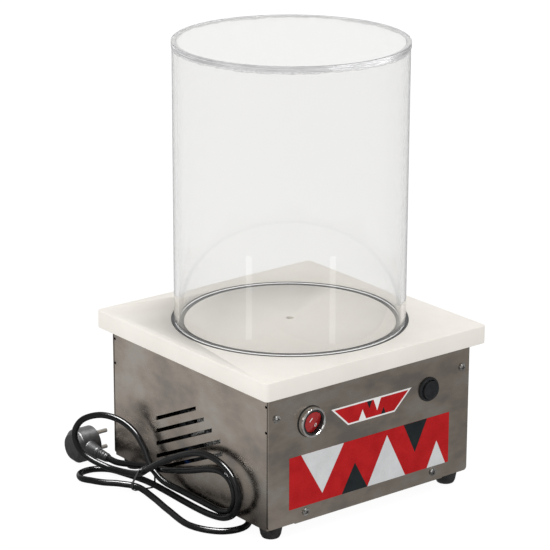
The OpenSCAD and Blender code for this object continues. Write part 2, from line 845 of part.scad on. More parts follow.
module motor_shaft() {
  color("silver") rod_x(fan_x[0] - 3, pump_x[1] + 4.5, shaft_r, 0, axis_z);
}

module cooling_fan() {
  blades = 9;
  color("white") {
    tube_x(fan_x[0], fan_x[1], shaft_r, 12);
    tube_x(fan_x[1] - 2, fan_x[1], shaft_r, 40);
    for (k = [0 : blades - 1]) translate([0, 0, axis_z]) rotate([360 * k / blades, 0, 0])
      block([fan_x[0], -1, 11], [fan_x[1] - 1, 1, 40]);
  }
}

module fan_cowl() {
  color("dimgray") {
    tube_x(fan_x[0] - 6, can_x[0] - 6, motor_d / 2 - 1.2, motor_d / 2);
    tube_x(fan_x[0] - 7.2, fan_x[0] - 6, 36, motor_d / 2);
    for (a = [0, 90]) translate([fan_x[0] - 7.2, 0, axis_z]) rotate([a, 0, 0])
      block([0, -36.5, -1.2], [1.2, 36.5, 1.2]);
  }
}

// A cradle plate at x, cut to hold a round body of radius r
module cradle(x, r) {
  difference() {
    block([x, -34, mount_top], [x + 3, 34, 56]);
    rod_x(x - 1, x + 4, r, 0, axis_z);
  }
}

module motor_bracket() {
  color("silver") difference() {
    union() {
      block([-80, -44, mount_top], [56, 44, mount_top + bracket_t]);
      cradle(-66, motor_d / 2 + 0.02);
      cradle(-12, motor_d / 2 + 0.02);
      cradle(10.5, pump_r + 2.02);
    }
    for (p = mount_at) rod_z(mount_top - 1, mount_top + 5, screw_r + 0.1, p[0], p[1]);
  }
}

module vibration_mounts() {
  color("black") for (p = mount_at) difference() {
    union() {
      rod_z(floor_z, mount_top, 7, p[0], p[1]);
      rod_z(floor_z, floor_z + 2, 9, p[0], p[1]);
      rod_z(mount_top - 2, mount_top, 9, p[0], p[1]);
    }
    rod_z(floor_z - 1, mount_top + 1, screw_r + 0.05, p[0], p[1]);
  }
}

module mount_bolts() {
  color("gray") for (p = mount_at) {
    rod_z(foot_h - 2.6, foot_h, 4.5, p[0], p[1]);
    rod_z(foot_h - 0.1, mount_top + 8, screw_r, p[0], p[1]);
    translate([p[0], p[1], mount_top + bracket_t]) difference() {
      cylinder(h = 4, r = 4.6, $fn = 6);
      translate([0, 0, -1]) cylinder(h = 6, r = screw_r - 0.1);
    }
  }
}

// ---------- electrical parts ----------

module run_capacitor() {
  color("white") translate([98, 0, 0]) {
    rod_y(32, 92, 15, 0, floor_z + 15);
    rod_y(28, 33, 12, 0, floor_z + 15);
    for (s = [-1, 1]) translate([s * 5 - 0.4, 22, floor_z + 13]) cube([0.8, 7, 5]);
  }
}

module terminal_block() {
  color("ivory") translate([-78, -112, floor_z]) difference() {
    union() {
      cube([58, 20, 8]);
      translate([0, 4, 7]) cube([58, 12, 9]);
    }
    for (k = [0 : 4]) {
      translate([6 + 11.5 * k, 10, 6]) cylinder(h = 12, r = 2.6);
      translate([6 + 11.5 * k, -1, 4.5]) rotate([-90, 0, 0]) cylinder(h = 22, r = 2);
    }
  }
}

// One insulated wire along a smooth curve through hand-set points
module wire(points, r = wire_r) {
  swept_tube(curve(points, 4 * len(points)), r, 8);
}

// Two wires to the switch, one to the capacitor and the jacketed lead from the gland
module inner_wiring() {
  switch_y = -case_half + 34.4;
  color("royalblue") {
    wire([[-72, -112.4, 19.7], [-72, -116, 19.8], [-73, -122, 30], [-82, -122, 62],
      [-88.5, -96, 93], [-88.5, -87, 111.8], [-88.5, -95, 118.3], [-88.5, switch_y, 118.3]]);
    wire([[-60.5, -112.4, 19.7], [-60.5, -116, 19.8], [-61, -122, 30], [-65, -122, 62],
      [-76.5, -96, 93], [-76.5, -87, 111.8], [-76.5, -95, 118.3], [-76.5, switch_y, 118.3]]);
    wire([[-37.5, -91.6, 19.7], [-37.5, -85, 20], [-20, -72, 22], [30, -64, 20], [84, -40, 22],
      [93, 4, 29], [93, 14, 31], [93, 21.6, 31]]);
  }
  color("black") wire([[lead_x, 128.2, lead_z], [lead_x, 112, lead_z - 3], [-64, 92, 28],
    [-96, 60, 20], [-106, 0, 20], [-98, -50, 20], [-77, -69, 20], [-62, -79, 19.8],
    [-60.5, -86, 19.7], [-60.5, -91.3, 19.7]], 3);
}

module cable_gland() {
  color("black") difference() {
    union() {
      rod_y(inner_half - 8, case_half + 2, 8, lead_x, lead_z);
      translate([lead_x, inner_half - 5, lead_z]) rotate([-90, 0, 0]) cylinder(h = 4.9, r = 11, $fn = 6);
      translate([lead_x, case_half, lead_z]) rotate([-90, 0, 0]) cylinder(h = 6, r = 11, $fn = 6);
      rod_y(case_half + 5, case_half + 10, 9.4, lead_x, lead_z);
      translate([lead_x, case_half + 10, lead_z]) rotate([-90, 0, 0])
        cylinder(h = relief_end - case_half - 10, r1 = 7, r2 = 4.8);
      for (k = [0 : 4]) translate([lead_x, case_half + 11.5 + 4.6 * k, lead_z]) rotate([-90, 0, 0])
        cylinder(h = 2.2, r = 7.2 - 0.4 * k);
    }
    rod_y(inner_half - 9, case_half + 10, cord_r + 0.05, lead_x, lead_z);
  }
}

module power_cord() {
  color("black") swept_tube(curve(cord_path, cord_rings), cord_r, 8);
}

// A rectangle with round corners, set in by the amount given
module round_box_2d(low, high, r, inset) {
  a = low + [1, 1] * inset;
  size = high - low - [2, 2] * inset;
  k = r - inset;
  translate(a + [k, 0]) square(size - [2 * k, 0]);
  translate(a + [0, k]) square(size - [0, 2 * k]);
  for (x = [k, size[0] - k], z = [k, size[1] - k]) translate(a + [x, z]) circle(k);
}

module cord_tie() {
  grow = [tie_t, tie_t];
  color("black") translate([0, tie_y[1], 0]) rotate([90, 0, 0]) linear_extrude(tie_y[1] - tie_y[0])
    difference() {
      round_box_2d(tie_low - grow, tie_high + grow, tie_r + tie_t, 0);
      round_box_2d(tie_low - grow, tie_high + grow, tie_r + tie_t, tie_t);
    }
}

// Round body with a chamfered back and grip notches, and a ribbed relief round the lead
module plug_body() {
  neck = 32;
  ribs = 4;
  color("black") translate(plug_at) {
    difference() {
      rotate([0, 90, 0]) rotate_extrude()
        polygon([[0, plug_x[0]], [plug_r - 5, plug_x[0]], [plug_r, plug_x[0] + 6], [plug_r, plug_x[1]],
          [0, plug_x[1]]]);
      for (s = [-1, 1]) translate([0, s * plug_r, 0]) cube([14, 6, 8], center = true);
    }
    rotate([90, 0, 0]) {
      translate([0, 0, 10]) cylinder(h = neck - 10, r1 = 10, r2 = 6.5);
      cylinder(h = plug_entry, r = 4.4);
      for (k = [0 : ribs - 1]) translate([0, 0, neck + 0.5 + 4.5 * k]) cylinder(h = 3, r = 6 - 0.3 * k);
    }
  }
}

module plug_pins() {
  color("silver") translate(plug_at) for (s = [-1, 1])
    rod_x(plug_x[1], plug_x[1] + pin_reach, pin_r, 0, s * pin_half_pitch);
}

// ---------- what is drawn ----------

body_shell();
front_panel();
back_panel();
panel_screws();
rubber_feet();
m4_screws();
foot_nuts();
lower_label();
upper_label();
top_board();
board_brackets();
bell_seal();
bell_tube();
bell_disc();
bell_cement();
switch_bezel();
switch_body();
switch_nut();
switch_rocker();
switch_blades();
release_collar();
release_nut();
release_cap();
release_spring();
release_plunger();
release_seal();
valve_body();
port_elbow();
tee_fitting();
port_hose();
valve_hose();
pump_hose();
hose_clips();
pump_housing();
pump_cover();
pump_rotor();
pump_vanes();
pump_screws();
pump_inlet();
exhaust_silencer();
motor_can();
motor_end_bells();
stator_core();
stator_windings();
motor_rotor();
motor_shaft();
motor_bearings();
cooling_fan();
fan_cowl();
motor_bracket();
vibration_mounts();
mount_bolts();
run_capacitor();
terminal_block();
inner_wiring();
cable_gland();
power_cord();
cord_tie();
plug_body();
plug_pins();
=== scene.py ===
import math

import bmesh
import bpy
from mathutils import Matrix, Vector


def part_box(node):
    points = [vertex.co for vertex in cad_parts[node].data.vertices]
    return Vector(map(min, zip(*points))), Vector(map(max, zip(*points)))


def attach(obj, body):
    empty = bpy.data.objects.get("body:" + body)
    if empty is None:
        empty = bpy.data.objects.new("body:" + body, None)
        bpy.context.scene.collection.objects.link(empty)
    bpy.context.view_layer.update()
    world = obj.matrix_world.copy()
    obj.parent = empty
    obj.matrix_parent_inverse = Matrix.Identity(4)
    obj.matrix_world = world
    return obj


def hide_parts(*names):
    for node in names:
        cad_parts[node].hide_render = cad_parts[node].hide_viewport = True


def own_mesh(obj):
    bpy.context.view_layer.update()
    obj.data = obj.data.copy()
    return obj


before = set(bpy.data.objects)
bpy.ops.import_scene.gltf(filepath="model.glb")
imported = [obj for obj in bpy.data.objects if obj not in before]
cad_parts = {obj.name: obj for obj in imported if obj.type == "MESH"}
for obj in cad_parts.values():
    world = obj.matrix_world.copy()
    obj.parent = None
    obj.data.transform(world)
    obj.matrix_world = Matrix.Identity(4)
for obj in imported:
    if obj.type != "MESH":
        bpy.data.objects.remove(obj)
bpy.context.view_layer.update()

MM = 0.001
TAU = 2 * math.pi


def mm(x, y, z):
    """A point given in millimetres."""
    return Vector((x, y, z)) * MM


# ---------- camera ----------

# Where the camera stands, in metres, and its right, up and back axes
CAMERA_AT = Vector((-1.61412, -2.01271, 1.05720))
CAMERA_AXES = (Vector((0.78463, -0.61995, 0.00303)), Vector((0.18706, 0.24141, 0.95222)),
               Vector((-0.59106, -0.74658, 0.30539)))
SENSOR_WIDTH, LENS = 36, 165.1
camera = bpy.data.objects.new("camera", bpy.data.cameras.new("camera"))
camera.data.sensor_width = SENSOR_WIDTH
camera.data.lens = LENS
camera.matrix_world = (Matrix.Translation(CAMERA_AT)
                       @ Matrix(CAMERA_AXES).transposed().to_4x4())
bpy.context.scene.collection.objects.link(camera)
bpy.context.scene.camera = camera


# ---------- materials ----------

def add_node(tree, kind, links=None, inputs=None, **settings):
    """Adds a shader node, sets its properties and its sockets' values, and links its sockets."""
    node = tree.nodes.new(kind)
    for key, value in settings.items():
        setattr(node, key, value)
    for key, value in (inputs or {}).items():
        node.inputs[key].default_value = value
    for key, source in (links or {}).items():
        tree.links.new(source, node.inputs[key])
    return node


def ramp(tree, source, colours, low=0.35, high=0.65):
    """Colours spread evenly over the middle of a noise's range."""
    node = add_node(tree, "ShaderNodeValToRGB", {"Fac": source})
    elements = node.color_ramp.elements
    while len(elements) < len(colours):
        elements.new(0.5)
    for i, (element, colour) in enumerate(zip(elements, colours)):
        element.position = low + (high - low) * i / (len(colours) - 1)
        element.color = (*colour, 1.0)
    return node.outputs["Color"]


def noise(tree, place, scale, stretch=(1, 1, 1), detail=4.0):
    """A noise of scale cycles per metre, with its pattern squeezed along each axis by stretch."""
    mapping = add_node(tree, "ShaderNodeMapping", {"Vector": place}, {"Scale": stretch})
    node = add_node(tree, "ShaderNodeTexNoise", {"Vector": mapping.outputs["Vector"]},
                    {"Scale": scale, "Detail": detail, "Roughness": 0.6})
    return node.outputs["Fac"]


def add(tree, a, b, share):
    """a + share * b"""
    node = add_node(tree, "ShaderNodeMath", {0: b, 2: a}, {1: share}, operation="MULTIPLY_ADD")
    return node.outputs[0]


def spread(tree, source, low, high, start=0.3, end=0.7):
    """Maps the middle of a noise's range to low ... high."""
    node = add_node(tree, "ShaderNodeMapRange", {"Value": source},
                    {"From Min": start, "From Max": end, "To Min": low, "To Max": high})
    return node.outputs["Result"]


def bump_from(tree, source, strength, depth, shader):
    """Links a bump made from a noise to the shader's normal."""
    relief = add_node(tree, "ShaderNodeBump", {"Height": source},
                      {"Strength": strength, "Distance": depth})
    tree.links.new(relief.outputs["Normal"], shader.inputs["Normal"])


def new_material(name, **sockets):
    """A material with its shader's even values set on the shader's own sockets."""
    mat = bpy.data.materials.new(name)
    mat.use_nodes = True
    shader = mat.node_tree.nodes["Principled BSDF"]
    for key, value in sockets.items():
        shader.inputs[key.replace("_", " ")].default_value = value
    place = add_node(mat.node_tree, "ShaderNodeTexCoord").outputs["Object"]
    return mat, mat.node_tree, shader, place


def finish(name, colours, rough=(0.35, 0.5), grain=900, stretch=(1, 1, 1), patch=30,
           bump=0.15, depth=0.0002, **sockets):
    """Blotches of colour, a fine grain in the gloss, and a bump from the grain."""
    mat, tree, shader, place = new_material(name, **sockets)
    blotch = noise(tree, place, patch)
    fine = noise(tree, place, grain, stretch)
    tree.links.new(ramp(tree, add(tree, blotch, fine, 0.15), colours, 0.4, 0.75),
                   shader.inputs["Base Color"])
    tree.links.new(spread(tree, add(tree, fine, blotch, 0.5), *rough, 0.5, 1.0),
                   shader.inputs["Roughness"])
    bump_from(tree, fine, bump, depth, shader)
    return mat


def brushed(name, stretch, rough=(0.17, 0.30)):
    """Sheet steel: a fine grain along one axis, smears of handling, and broad cloudy patches."""
    mat, tree, shader, place = new_material(name, Metallic=1.0)
    grain = noise(tree, place, 60, stretch, 6.0)
    cloud = noise(tree, place, 16, (1, 1, 1.6), 3.0)
    smear = noise(tree, place, 70, (1, 1, 2.5), 5.0)
    tone = add(tree, add(tree, cloud, grain, 0.12), smear, 0.2)
    tree.links.new(ramp(tree, tone, STEEL, 0.50, 0.82), shader.inputs["Base Color"])
    tree.links.new(spread(tree, add(tree, smear, grain, 0.6), *rough, 0.55, 1.05),
                   shader.inputs["Roughness"])
    bump_from(tree, add(tree, grain, cloud, 5.0), 0.2, 0.0001, shader)
    return mat


def clear(name, colour, rough, wave, bump):
    """Acrylic: its shader for everything but shadows, which the light passes through."""
    mat, tree, shader, place = new_material(
        name, Base_Color=(*colour, 1.0), Transmission_Weight=1.0, IOR=1.49)
    soft = noise(tree, place, wave, (1, 1, 0.5), 2.0)
    tree.links.new(spread(tree, soft, *rough), shader.inputs["Roughness"])
    bump_from(tree, soft, bump, 0.0004, shader)
    light_through(tree, shader)
    return mat


def light_through(tree, shader):
    """Lets the light that falls on a piece pass through it."""
    passing = add_node(tree, "ShaderNodeBsdfTransparent", inputs={"Color": (0.97, 0.97, 0.97, 1)})
    rays = add_node(tree, "ShaderNodeLightPath")
    mixed = add_node(tree, "ShaderNodeMixShader", {0: rays.outputs["Is Shadow Ray"],
                     1: shader.outputs[0], 2: passing.outputs[0]})
    tree.links.new(mixed.outputs[0], tree.nodes["Material Output"].inputs["Surface"])


def cut_edge(name, colours, rough):
    """The sawn edge of clear sheet: half frosted, with thin streaks along the cut."""
    mat, tree, shader, place = new_material(name, Transmission_Weight=0.4, IOR=1.49)
    streak = noise(tree, place, 26, (1, 1, 40), 3.0)
    broad = noise(tree, place, 14, (1, 1, 2), 2.0)
    tree.links.new(ramp(tree, add(tree, streak, broad, 0.8), colours, 0.72, 1.08),
                   shader.inputs["Base Color"])
    tree.links.new(spread(tree, streak, *rough), shader.inputs["Roughness"])
    bump_from(tree, streak, 0.3, 0.0003, shader)
    light_through(tree, shader)
    return mat


STEEL = [(0.38, 0.34, 0.305), (0.51, 0.44, 0.375), (0.57, 0.525, 0.47)]
BLACK = [(0.010, 0.011, 0.012), (0.020, 0.021, 0.023)]
FINISHES = {
    "brushed_steel": brushed("brushed_steel", (40, 1.2, 60)),
    "zinc_steel": finish("zinc_steel", [(0.46, 0.46, 0.47), (0.66, 0.65, 0.62)], (0.14, 0.3),
                         grain=1500, patch=220, bump=0.2, Metallic=1.0),
    "nickel": finish("nickel", [(0.62, 0.61, 0.59), (0.78, 0.77, 0.75)], (0.1, 0.2),
                     grain=2500, patch=300, bump=0.05, depth=0.00005, Metallic=1.0),
    "white_board": finish("white_board", [(0.85, 0.81, 0.75), (0.90, 0.865, 0.805)], (0.3, 0.44),
                          grain=1200, patch=18, bump=0.12, depth=0.0001,
                          Specular_IOR_Level=0.2),
    "acrylic_cement": finish("acrylic_cement", [(0.62, 0.62, 0.62), (0.95, 0.95, 0.95)],
                             (0.15, 0.4), grain=700, patch=400, bump=0.6, depth=0.0005,
                             Alpha=0.55),
    "black_rubber": finish("black_rubber", [(0.012, 0.012, 0.012), (0.028, 0.028, 0.028)],
                           (0.45, 0.65), grain=1800, patch=120, bump=0.3),
    "grey_rubber": finish("grey_rubber", [(0.030, 0.031, 0.032), (0.060, 0.061, 0.062)],
                          (0.4, 0.55), grain=1600, patch=150, bump=0.2),
    "label_red": finish("label_red", [(0.40, 0.004, 0.006), (0.50, 0.008, 0.010)], (0.22, 0.34),
                        grain=1500, patch=60, bump=0.06, depth=0.0001,
                        Specular_IOR_Level=0.2),
    "switch_red": finish("switch_red", [(0.30, 0.010, 0.012), (0.42, 0.020, 0.022)], (0.2, 0.32),
                         grain=1500, patch=200, bump=0.05, Coat_Weight=0.3),
    "black_gloss": finish("black_gloss", BLACK, (0.22, 0.34), grain=1600, patch=150, bump=0.06,
                          Specular_IOR_Level=0.3),
    "black_plastic": finish("black_plastic", [(0.014, 0.014, 0.015), (0.030, 0.030, 0.031)],
                            (0.3, 0.46), grain=2200, patch=150, bump=0.25),
    "brass": finish("brass", [(0.60, 0.42, 0.18), (0.76, 0.58, 0.30)], (0.2, 0.38),
                    grain=1800, patch=220, bump=0.1, Metallic=1.0),
    "white_plastic": finish("white_plastic", [(0.76, 0.76, 0.74), (0.84, 0.84, 0.82)],
                            (0.35, 0.5), grain=1500, patch=120),
    "silicone": finish("silicone", [(0.66, 0.68, 0.67), (0.80, 0.81, 0.80)], (0.3, 0.45),
                       grain=900, patch=120, Subsurface_Weight=0.2),
    "cast_aluminium": finish("cast_aluminium", [(0.40, 0.41, 0.42), (0.58, 0.58, 0.58)],
                             (0.4, 0.6), grain=1300, patch=160, bump=0.5, Metallic=1.0),
    "motor_paint": finish("motor_paint", [(0.030, 0.034, 0.038), (0.055, 0.060, 0.064)],
                          (0.3, 0.5), grain=1200, patch=80, bump=0.3),
    "iron": finish("iron", [(0.16, 0.16, 0.17), (0.28, 0.28, 0.28)], (0.4, 0.6),
                   grain=700, stretch=(14, 1, 1), patch=120, bump=0.5, Metallic=1.0),
    "copper_wire": finish("copper_wire", [(0.34, 0.11, 0.04), (0.55, 0.22, 0.09)], (0.25, 0.4),
                          grain=600, stretch=(1, 4, 4), patch=160, bump=0.6, Metallic=0.7),
    "shaft_steel": finish("shaft_steel", [(0.52, 0.52, 0.53), (0.66, 0.66, 0.66)], (0.15, 0.3),
                          grain=900, stretch=(6, 1, 1), patch=150, bump=0.1, Metallic=1.0),
    "wire_blue": finish("wire_blue", [(0.02, 0.07, 0.30), (0.04, 0.12, 0.42)], (0.3, 0.45),
                        grain=1500, patch=150),
    "lead_black": finish("lead_black", [(0.003, 0.0032, 0.0035), (0.008, 0.0083, 0.0087)],
                         (0.12, 0.2), grain=700, patch=90, bump=0.1, depth=0.0002,
                         Specular_IOR_Level=0.28),
    "clear_acrylic": clear("clear_acrylic", (0.910, 0.908, 0.901), (0.0, 0.02), 14, 0.02),
}
steel_across = brushed("steel_across", (1.2, 40, 60))
disc_edge = cut_edge("disc_edge", [(0.66, 0.66, 0.67), (0.88, 0.88, 0.89), (1.0, 1.0, 1.0)],
                     (0.15, 0.35))
# The screws' steel runs in blotches from near black to near white. These are a painted shade and
# painted highlights, scattered at random, that stand in for the dark recess and the glints.
screw_painted_shade_and_glint = finish("screw_painted_shade_and_glint", [(0.08, 0.08, 0.08), (0.42, 0.41, 0.39), (0.86, 0.85, 0.83)],
                     (0.12, 0.25), grain=1500, patch=420, bump=0.2, Metallic=1.0)
label_grey = finish("label_grey", [(0.60, 0.61, 0.615), (0.68, 0.69, 0.695)], (0.22, 0.34),
                    grain=1500, patch=60, bump=0.06, depth=0.0001)
label_white = finish("label_white", [(0.80, 0.80, 0.79), (0.86, 0.86, 0.85)], (0.22, 0.34),
                     grain=1500, patch=60, bump=0.06, depth=0.0001)
label_black = finish("label_black", [(0.008, 0.012, 0.014), (0.014, 0.020, 0.022)],
                     (0.22, 0.34), grain=1500, patch=60, bump=0.06, depth=0.0001,
                     Specular_IOR_Level=0.25)

for cad_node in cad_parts.values():
    for material_slot in cad_node.material_slots:
        slot_name = material_slot.material.name.split(".")[0]
        if slot_name in FINISHES:
            material_slot.material = FINISHES[slot_name]
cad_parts["body_shell"].material_slots[0].material = steel_across
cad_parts["panel_screws"].material_slots[0].material = screw_painted_shade_and_glint


# ---------- making pieces ----------

def add_piece(name, data, body, slot, nodes=(), extra=()):
    """Puts a mesh or curve in the scene on a body, with the finish of its slot."""
    obj = bpy.data.objects.new(name, data)
    bpy.context.scene.collection.objects.link(obj)
    for material in (FINISHES[slot], *extra):
        data.materials.append(material)
    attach(obj, body)
    if nodes:
        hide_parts(*nodes)
    return obj


# Where mesh_from is asked for flats, faces larger than this are shaded flat
FLAT_AREA = 60 * MM * MM


def mesh_from(name, bm, crease=32, flats=False):
    """Turns a bmesh into a smooth-shaded mesh; sharp edges stay sharp, and so may broad faces."""
    bmesh.ops.recalc_face_normals(bm, faces=bm.faces)
    for face in bm.faces:
        face.smooth = not (flats and face.calc_area() > FLAT_AREA)
    mesh = bpy.data.meshes.new(name)
    bm.to_mesh(mesh)
    bm.free()
    mesh.set_sharp_from_angle(angle=math.radians(crease))
    return mesh


def held(outline, margin=0.25):
    """Adds a point near both ends of each long side, which keeps the side flat in its shading."""
    out = []
    for i, point in enumerate(outline):
        a, b = Vector(point), Vector(outline[(i + 1) % len(outline)])
        out.append(a)
        if (b - a).length > 6 * margin:
            step = (b - a).normalized() * margin
            out += [a + step, b - step]
    return out


def rounded(points, radius, steps=5):
    """A closed 2-D outline with its corners rounded; radius is a number or one for each corner."""
    out = []
    count = len(points)
    for i, point in enumerate(points):
        r = radius[i] if hasattr(radius, "__len__") else radius
        p = Vector(point)
        to_last = (Vector(points[i - 1]) - p)
        to_next = (Vector(points[(i + 1) % count]) - p)
        if r <= 0:
            out.append(p)
            continue
        corner = to_last.angle(to_next)
        reach = min(r / math.tan(corner / 2), 0.49 * to_last.length, 0.49 * to_next.length)
        a, b = p + to_last.normalized() * reach, p + to_next.normalized() * reach
        for k in range(steps + 1):
            t = k / steps
            out.append(a * (1 - t) ** 2 + p * 2 * t * (1 - t) + b * t ** 2)
    return out


def lathe(outline, place=Matrix.Identity(4), steps=128):
    """A solid turned from a closed (radius, height) outline in mm, then put in place."""
    outline = held(outline)
    bm = bmesh.new()
    rings = []
    for k in range(steps):
        a = TAU * k / steps
        rings.append([bm.verts.new(place @ (mm(p[0] * math.cos(a), p[0] * math.sin(a), p[1])))
                      for p in outline])
    for k in range(steps):
        here, there = rings[k], rings[(k + 1) % steps]
        for i in range(len(outline)):
            j = (i + 1) % len(outline)
            bm.faces.new((here[i], there[i], there[j], here[j]))
    bmesh.ops.remove_doubles(bm, verts=bm.verts, dist=1e-7)
    return bm


def soft_copy(node, width, crease=30, keep=None):
    """A bmesh of a CAD node with its sharp edges rounded off; keep picks the edges to round."""
    bm = bmesh.new()
    bm.from_mesh(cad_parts[node].data)
    bmesh.ops.remove_doubles(bm, verts=bm.verts, dist=1e-6)
    bmesh.ops.dissolve_limit(bm, angle_limit=math.radians(0.5), verts=bm.verts, edges=bm.edges)
    sharp = [e for e in bm.edges if e.is_manifold
             and e.calc_face_angle(0) > math.radians(crease) and (keep is None or keep(e))]
    bmesh.ops.bevel(bm, geom=sharp, offset=width * MM, segments=3, profile=0.5,
                    affect="EDGES", clamp_overlap=True)
    return bm


def melted_copy(name, node, voxel, smooth, body, slot):
    """A moulded piece: a CAD node's shape with every edge softened."""
    obj = add_piece(name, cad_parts[node].data.copy(), body, slot, [node])
    obj.data.materials.clear()
    obj.data.materials.append(FINISHES[slot])
    remesh = obj.modifiers.new("remesh", "REMESH")
    remesh.mode = "VOXEL"
    remesh.voxel_size = voxel * MM
    ease = obj.modifiers.new("ease", "SMOOTH")
    ease.factor = 0.5
    ease.iterations = smooth
    depsgraph = bpy.context.evaluated_depsgraph_get()
    mesh = bpy.data.meshes.new_from_object(obj.evaluated_get(depsgraph))
    obj.modifiers.clear()
    obj.data = mesh
    mesh.shade_smooth()
    return obj


def front(x, z, y):
    """Places a lathed piece to face the front, with its own height 0 at y."""
    return Matrix.Translation(mm(x, y, z)) @ Matrix.Rotation(math.radians(90), 4, "X")


def curve_point(points, span, share):
    """A point of the Catmull-Rom curve through a list of points."""
    a, b = points[max(span - 1, 0)], points[span]
    c, d = points[span + 1], points[min(span + 2, len(points) - 1)]
    return 0.5 * (2 * b + (c - a) * share + (2 * a - 5 * b + 4 * c - d) * share ** 2
                  + (3 * b - a - 3 * c + d) * share ** 3)


def smooth_line(points, steps):
    line = [curve_point(points, span, k / steps)
            for span in range(len(points) - 1) for k in range(steps)]
    return line + [points[-1]]


def tube(name, line, radius, closed=False, sides=7):
    """A round tube along a line of points in metres, as a curve."""
    data = bpy.data.curves.new(name, "CURVE")
    data.dimensions = "3D"
    data.bevel_depth = radius * MM
    data.bevel_resolution = sides
    data.use_fill_caps = not closed
    spline = data.splines.new("POLY")
    spline.points.add(len(line) - 1)
    for point, place in zip(spline.points, line):
        point.co = (*place, 1.0)
    spline.use_cyclic_u = closed
    spline.use_smooth = True
    return data


# ---------- mains lead ----------

ROUTE = [mm(*p) for p in (
    (-50, 172, 42), (-50, 190, 41), (-47, 214, 31), (-34, 236, 15), (-10, 242, 4.5),
    (12, 226, 3.6), (18, 194, 3.6), (4, 154, 3.6), (-36, 72, 3.6), (-82, -24, 3.6),
    (-106, -66, 3.6), (-132, -92, 3.6), (-160, -86, 3.6), (-176, -54, 3.6), (-170, -8, 3.6),
    (-163, 28, 3.8), (-163.5, 56, 7.2), (-175, 74, 8.4), (-186, 88, 8), (-192.5, 101, 7.5),
    (-196, 117.5, 6), (-186.5, 133, 4.5), (-169, 136, 3.6), (-154, 124.5, 3.6), (-147, 102, 3.6),
    (-143.5, 78, 4.4), (-143.2, 57, 5.3), (-142.2, 30, 4.2), (-142.5, 4, 3.6), (-143.5, -25, 3.9),
    (-145.5, -52, 6.5), (-148, -77, 12.5), (-149, -95, 23.5), (-149.5, -103.5, 40),
    (-149, -99, 57), (-149, -81, 70), (-149, -54, 74.5), (-150, -28, 70), (-151.5, -2, 59),
    (-155, 26, 43.5), (-157.6, 47, 29.5), (-156, 65, 18.5), (-159, 90, 13), (-168, 116, 14.5),
    (-180, 138, 25.5), (-183.5, 148, 44), (-178, 141.5, 62), (-166, 123, 71), (-156, 101, 69.5),
    (-151, 80, 61), (-149, 64, 46), (-150, 50, 29.5), (-148, 31, 18.5), (-143, 3, 14.5),
    (-141.5, -28, 13.3), (-141.5, -48, 13.2), (-141.5, -64, 14), (-141.5, -79.5, 20.3),
    (-141.5, -86.2, 36), (-141.5, -79.5, 52), (-141.5, -63, 58), (-141.5, -40, 53.5),
    (-141.5, -10, 42.5), (-142, 20, 33), (-142.2, 45, 26.5), (-144, 72, 22), (-149.5, 94, 18.5),
    (-155, 108, 17.5), (-158, 120, 19))]
CORD_R = 3.5
lead_line = smooth_line(ROUTE, 10)
lead = add_piece("mains_lead", tube("mains_lead", lead_line, CORD_R), "casing", "lead_black",
                 ["power_cord"])

plug = melted_copy("plug", "plug_body", 0.45, 5, "casing", "black_plastic")
relief = melted_copy("strain_relief", "cable_gland", 0.4, 3, "casing", "black_plastic")


TIE_Y, TIE_HALF_PITCH, TIE_R, TIE_STEPS = 60, 0.7, 0.55, 72
# The tied strands are the ones lower and further left than this
TIED_BELOW, TIED_LEFT_OF = 30 * MM, -130 * MM


def tie_loop(y, slant, gap):
    """A wire's line round the strands that cross the plane at y, drawn tight over them."""
    centres = []
    for a, b in zip(lead_line, lead_line[1:]):
        crosses = (a.y - y * MM) * (b.y - y * MM) <= 0 and a.y != b.y
        if crosses and a.z < TIED_BELOW and a.x < TIED_LEFT_OF:
            t = (y * MM - a.y) / (b.y - a.y)
            centres.append(a.lerp(b, t))
    line = []
    for k in range(TIE_STEPS):
        way = Vector((math.cos(TAU * k / TIE_STEPS), 0, math.sin(TAU * k / TIE_STEPS)))
        far = max(centres, key=lambda c: c.dot(way))
        at = far + way * (CORD_R + gap) * MM
        line.append(at + mm(0, slant * way.z, 0))
    return line


first_turn = tube("lead_tie", tie_loop(TIE_Y - TIE_HALF_PITCH, 1.5, 0.85), TIE_R, closed=True,
                  sides=4)
second_turn = tube("lead_tie_turn", tie_loop(TIE_Y + TIE_HALF_PITCH, 1.2, 0.9), TIE_R,
                   closed=True, sides=4)
tie = add_piece("lead_tie", first_turn, "casing", "black_plastic", ["cord_tie"])
tie_turn = add_piece("lead_tie_turn", second_turn, "casing", "black_plastic")


# ---------- board and seal ----------

board_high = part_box("top_board")[1]
BOARD_TOP = board_high.z / MM


def outer_edge(edge):
    """True for the board's own outline and not its groove or holes."""
    reach = min(max(abs(v.co.x), abs(v.co.y)) for v in edge.verts)
    return reach > board_high.x - 2 * MM


board_mesh = mesh_from("board", soft_copy("top_board", 0.9, 30, outer_edge), flats=True)
add_piece("board", board_mesh, "casing", "white_board", ["top_board"])
SEAL_IN, SEAL_OUT = 114.6, 128.2
SEAL_FOOT, SEAL_FACE = BOARD_TOP - 3.9, BOARD_TOP - 0.02
seal_outline = rounded([(SEAL_IN, SEAL_FOOT), (SEAL_OUT, SEAL_FOOT), (SEAL_OUT, SEAL_FACE),
                        (SEAL_IN, SEAL_FACE)], [0.2, 0.2, 0.5, 0.5])
add_piece("seal_ring", mesh_from("seal_ring", lathe(seal_outline, steps=192)),
          "casing", "grey_rubber", ["bell_seal"])


# ---------- bell ----------

TUBE_OUT, TUBE_IN = 125.0, 120.0
tube_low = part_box("bell_tube")[0].z / MM
disc_low, disc_high = (c.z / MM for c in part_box("bell_disc"))
DISC_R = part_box("bell_disc")[1].x / MM
# Room for the cement film between the tube and the disc
FILM = 0.14

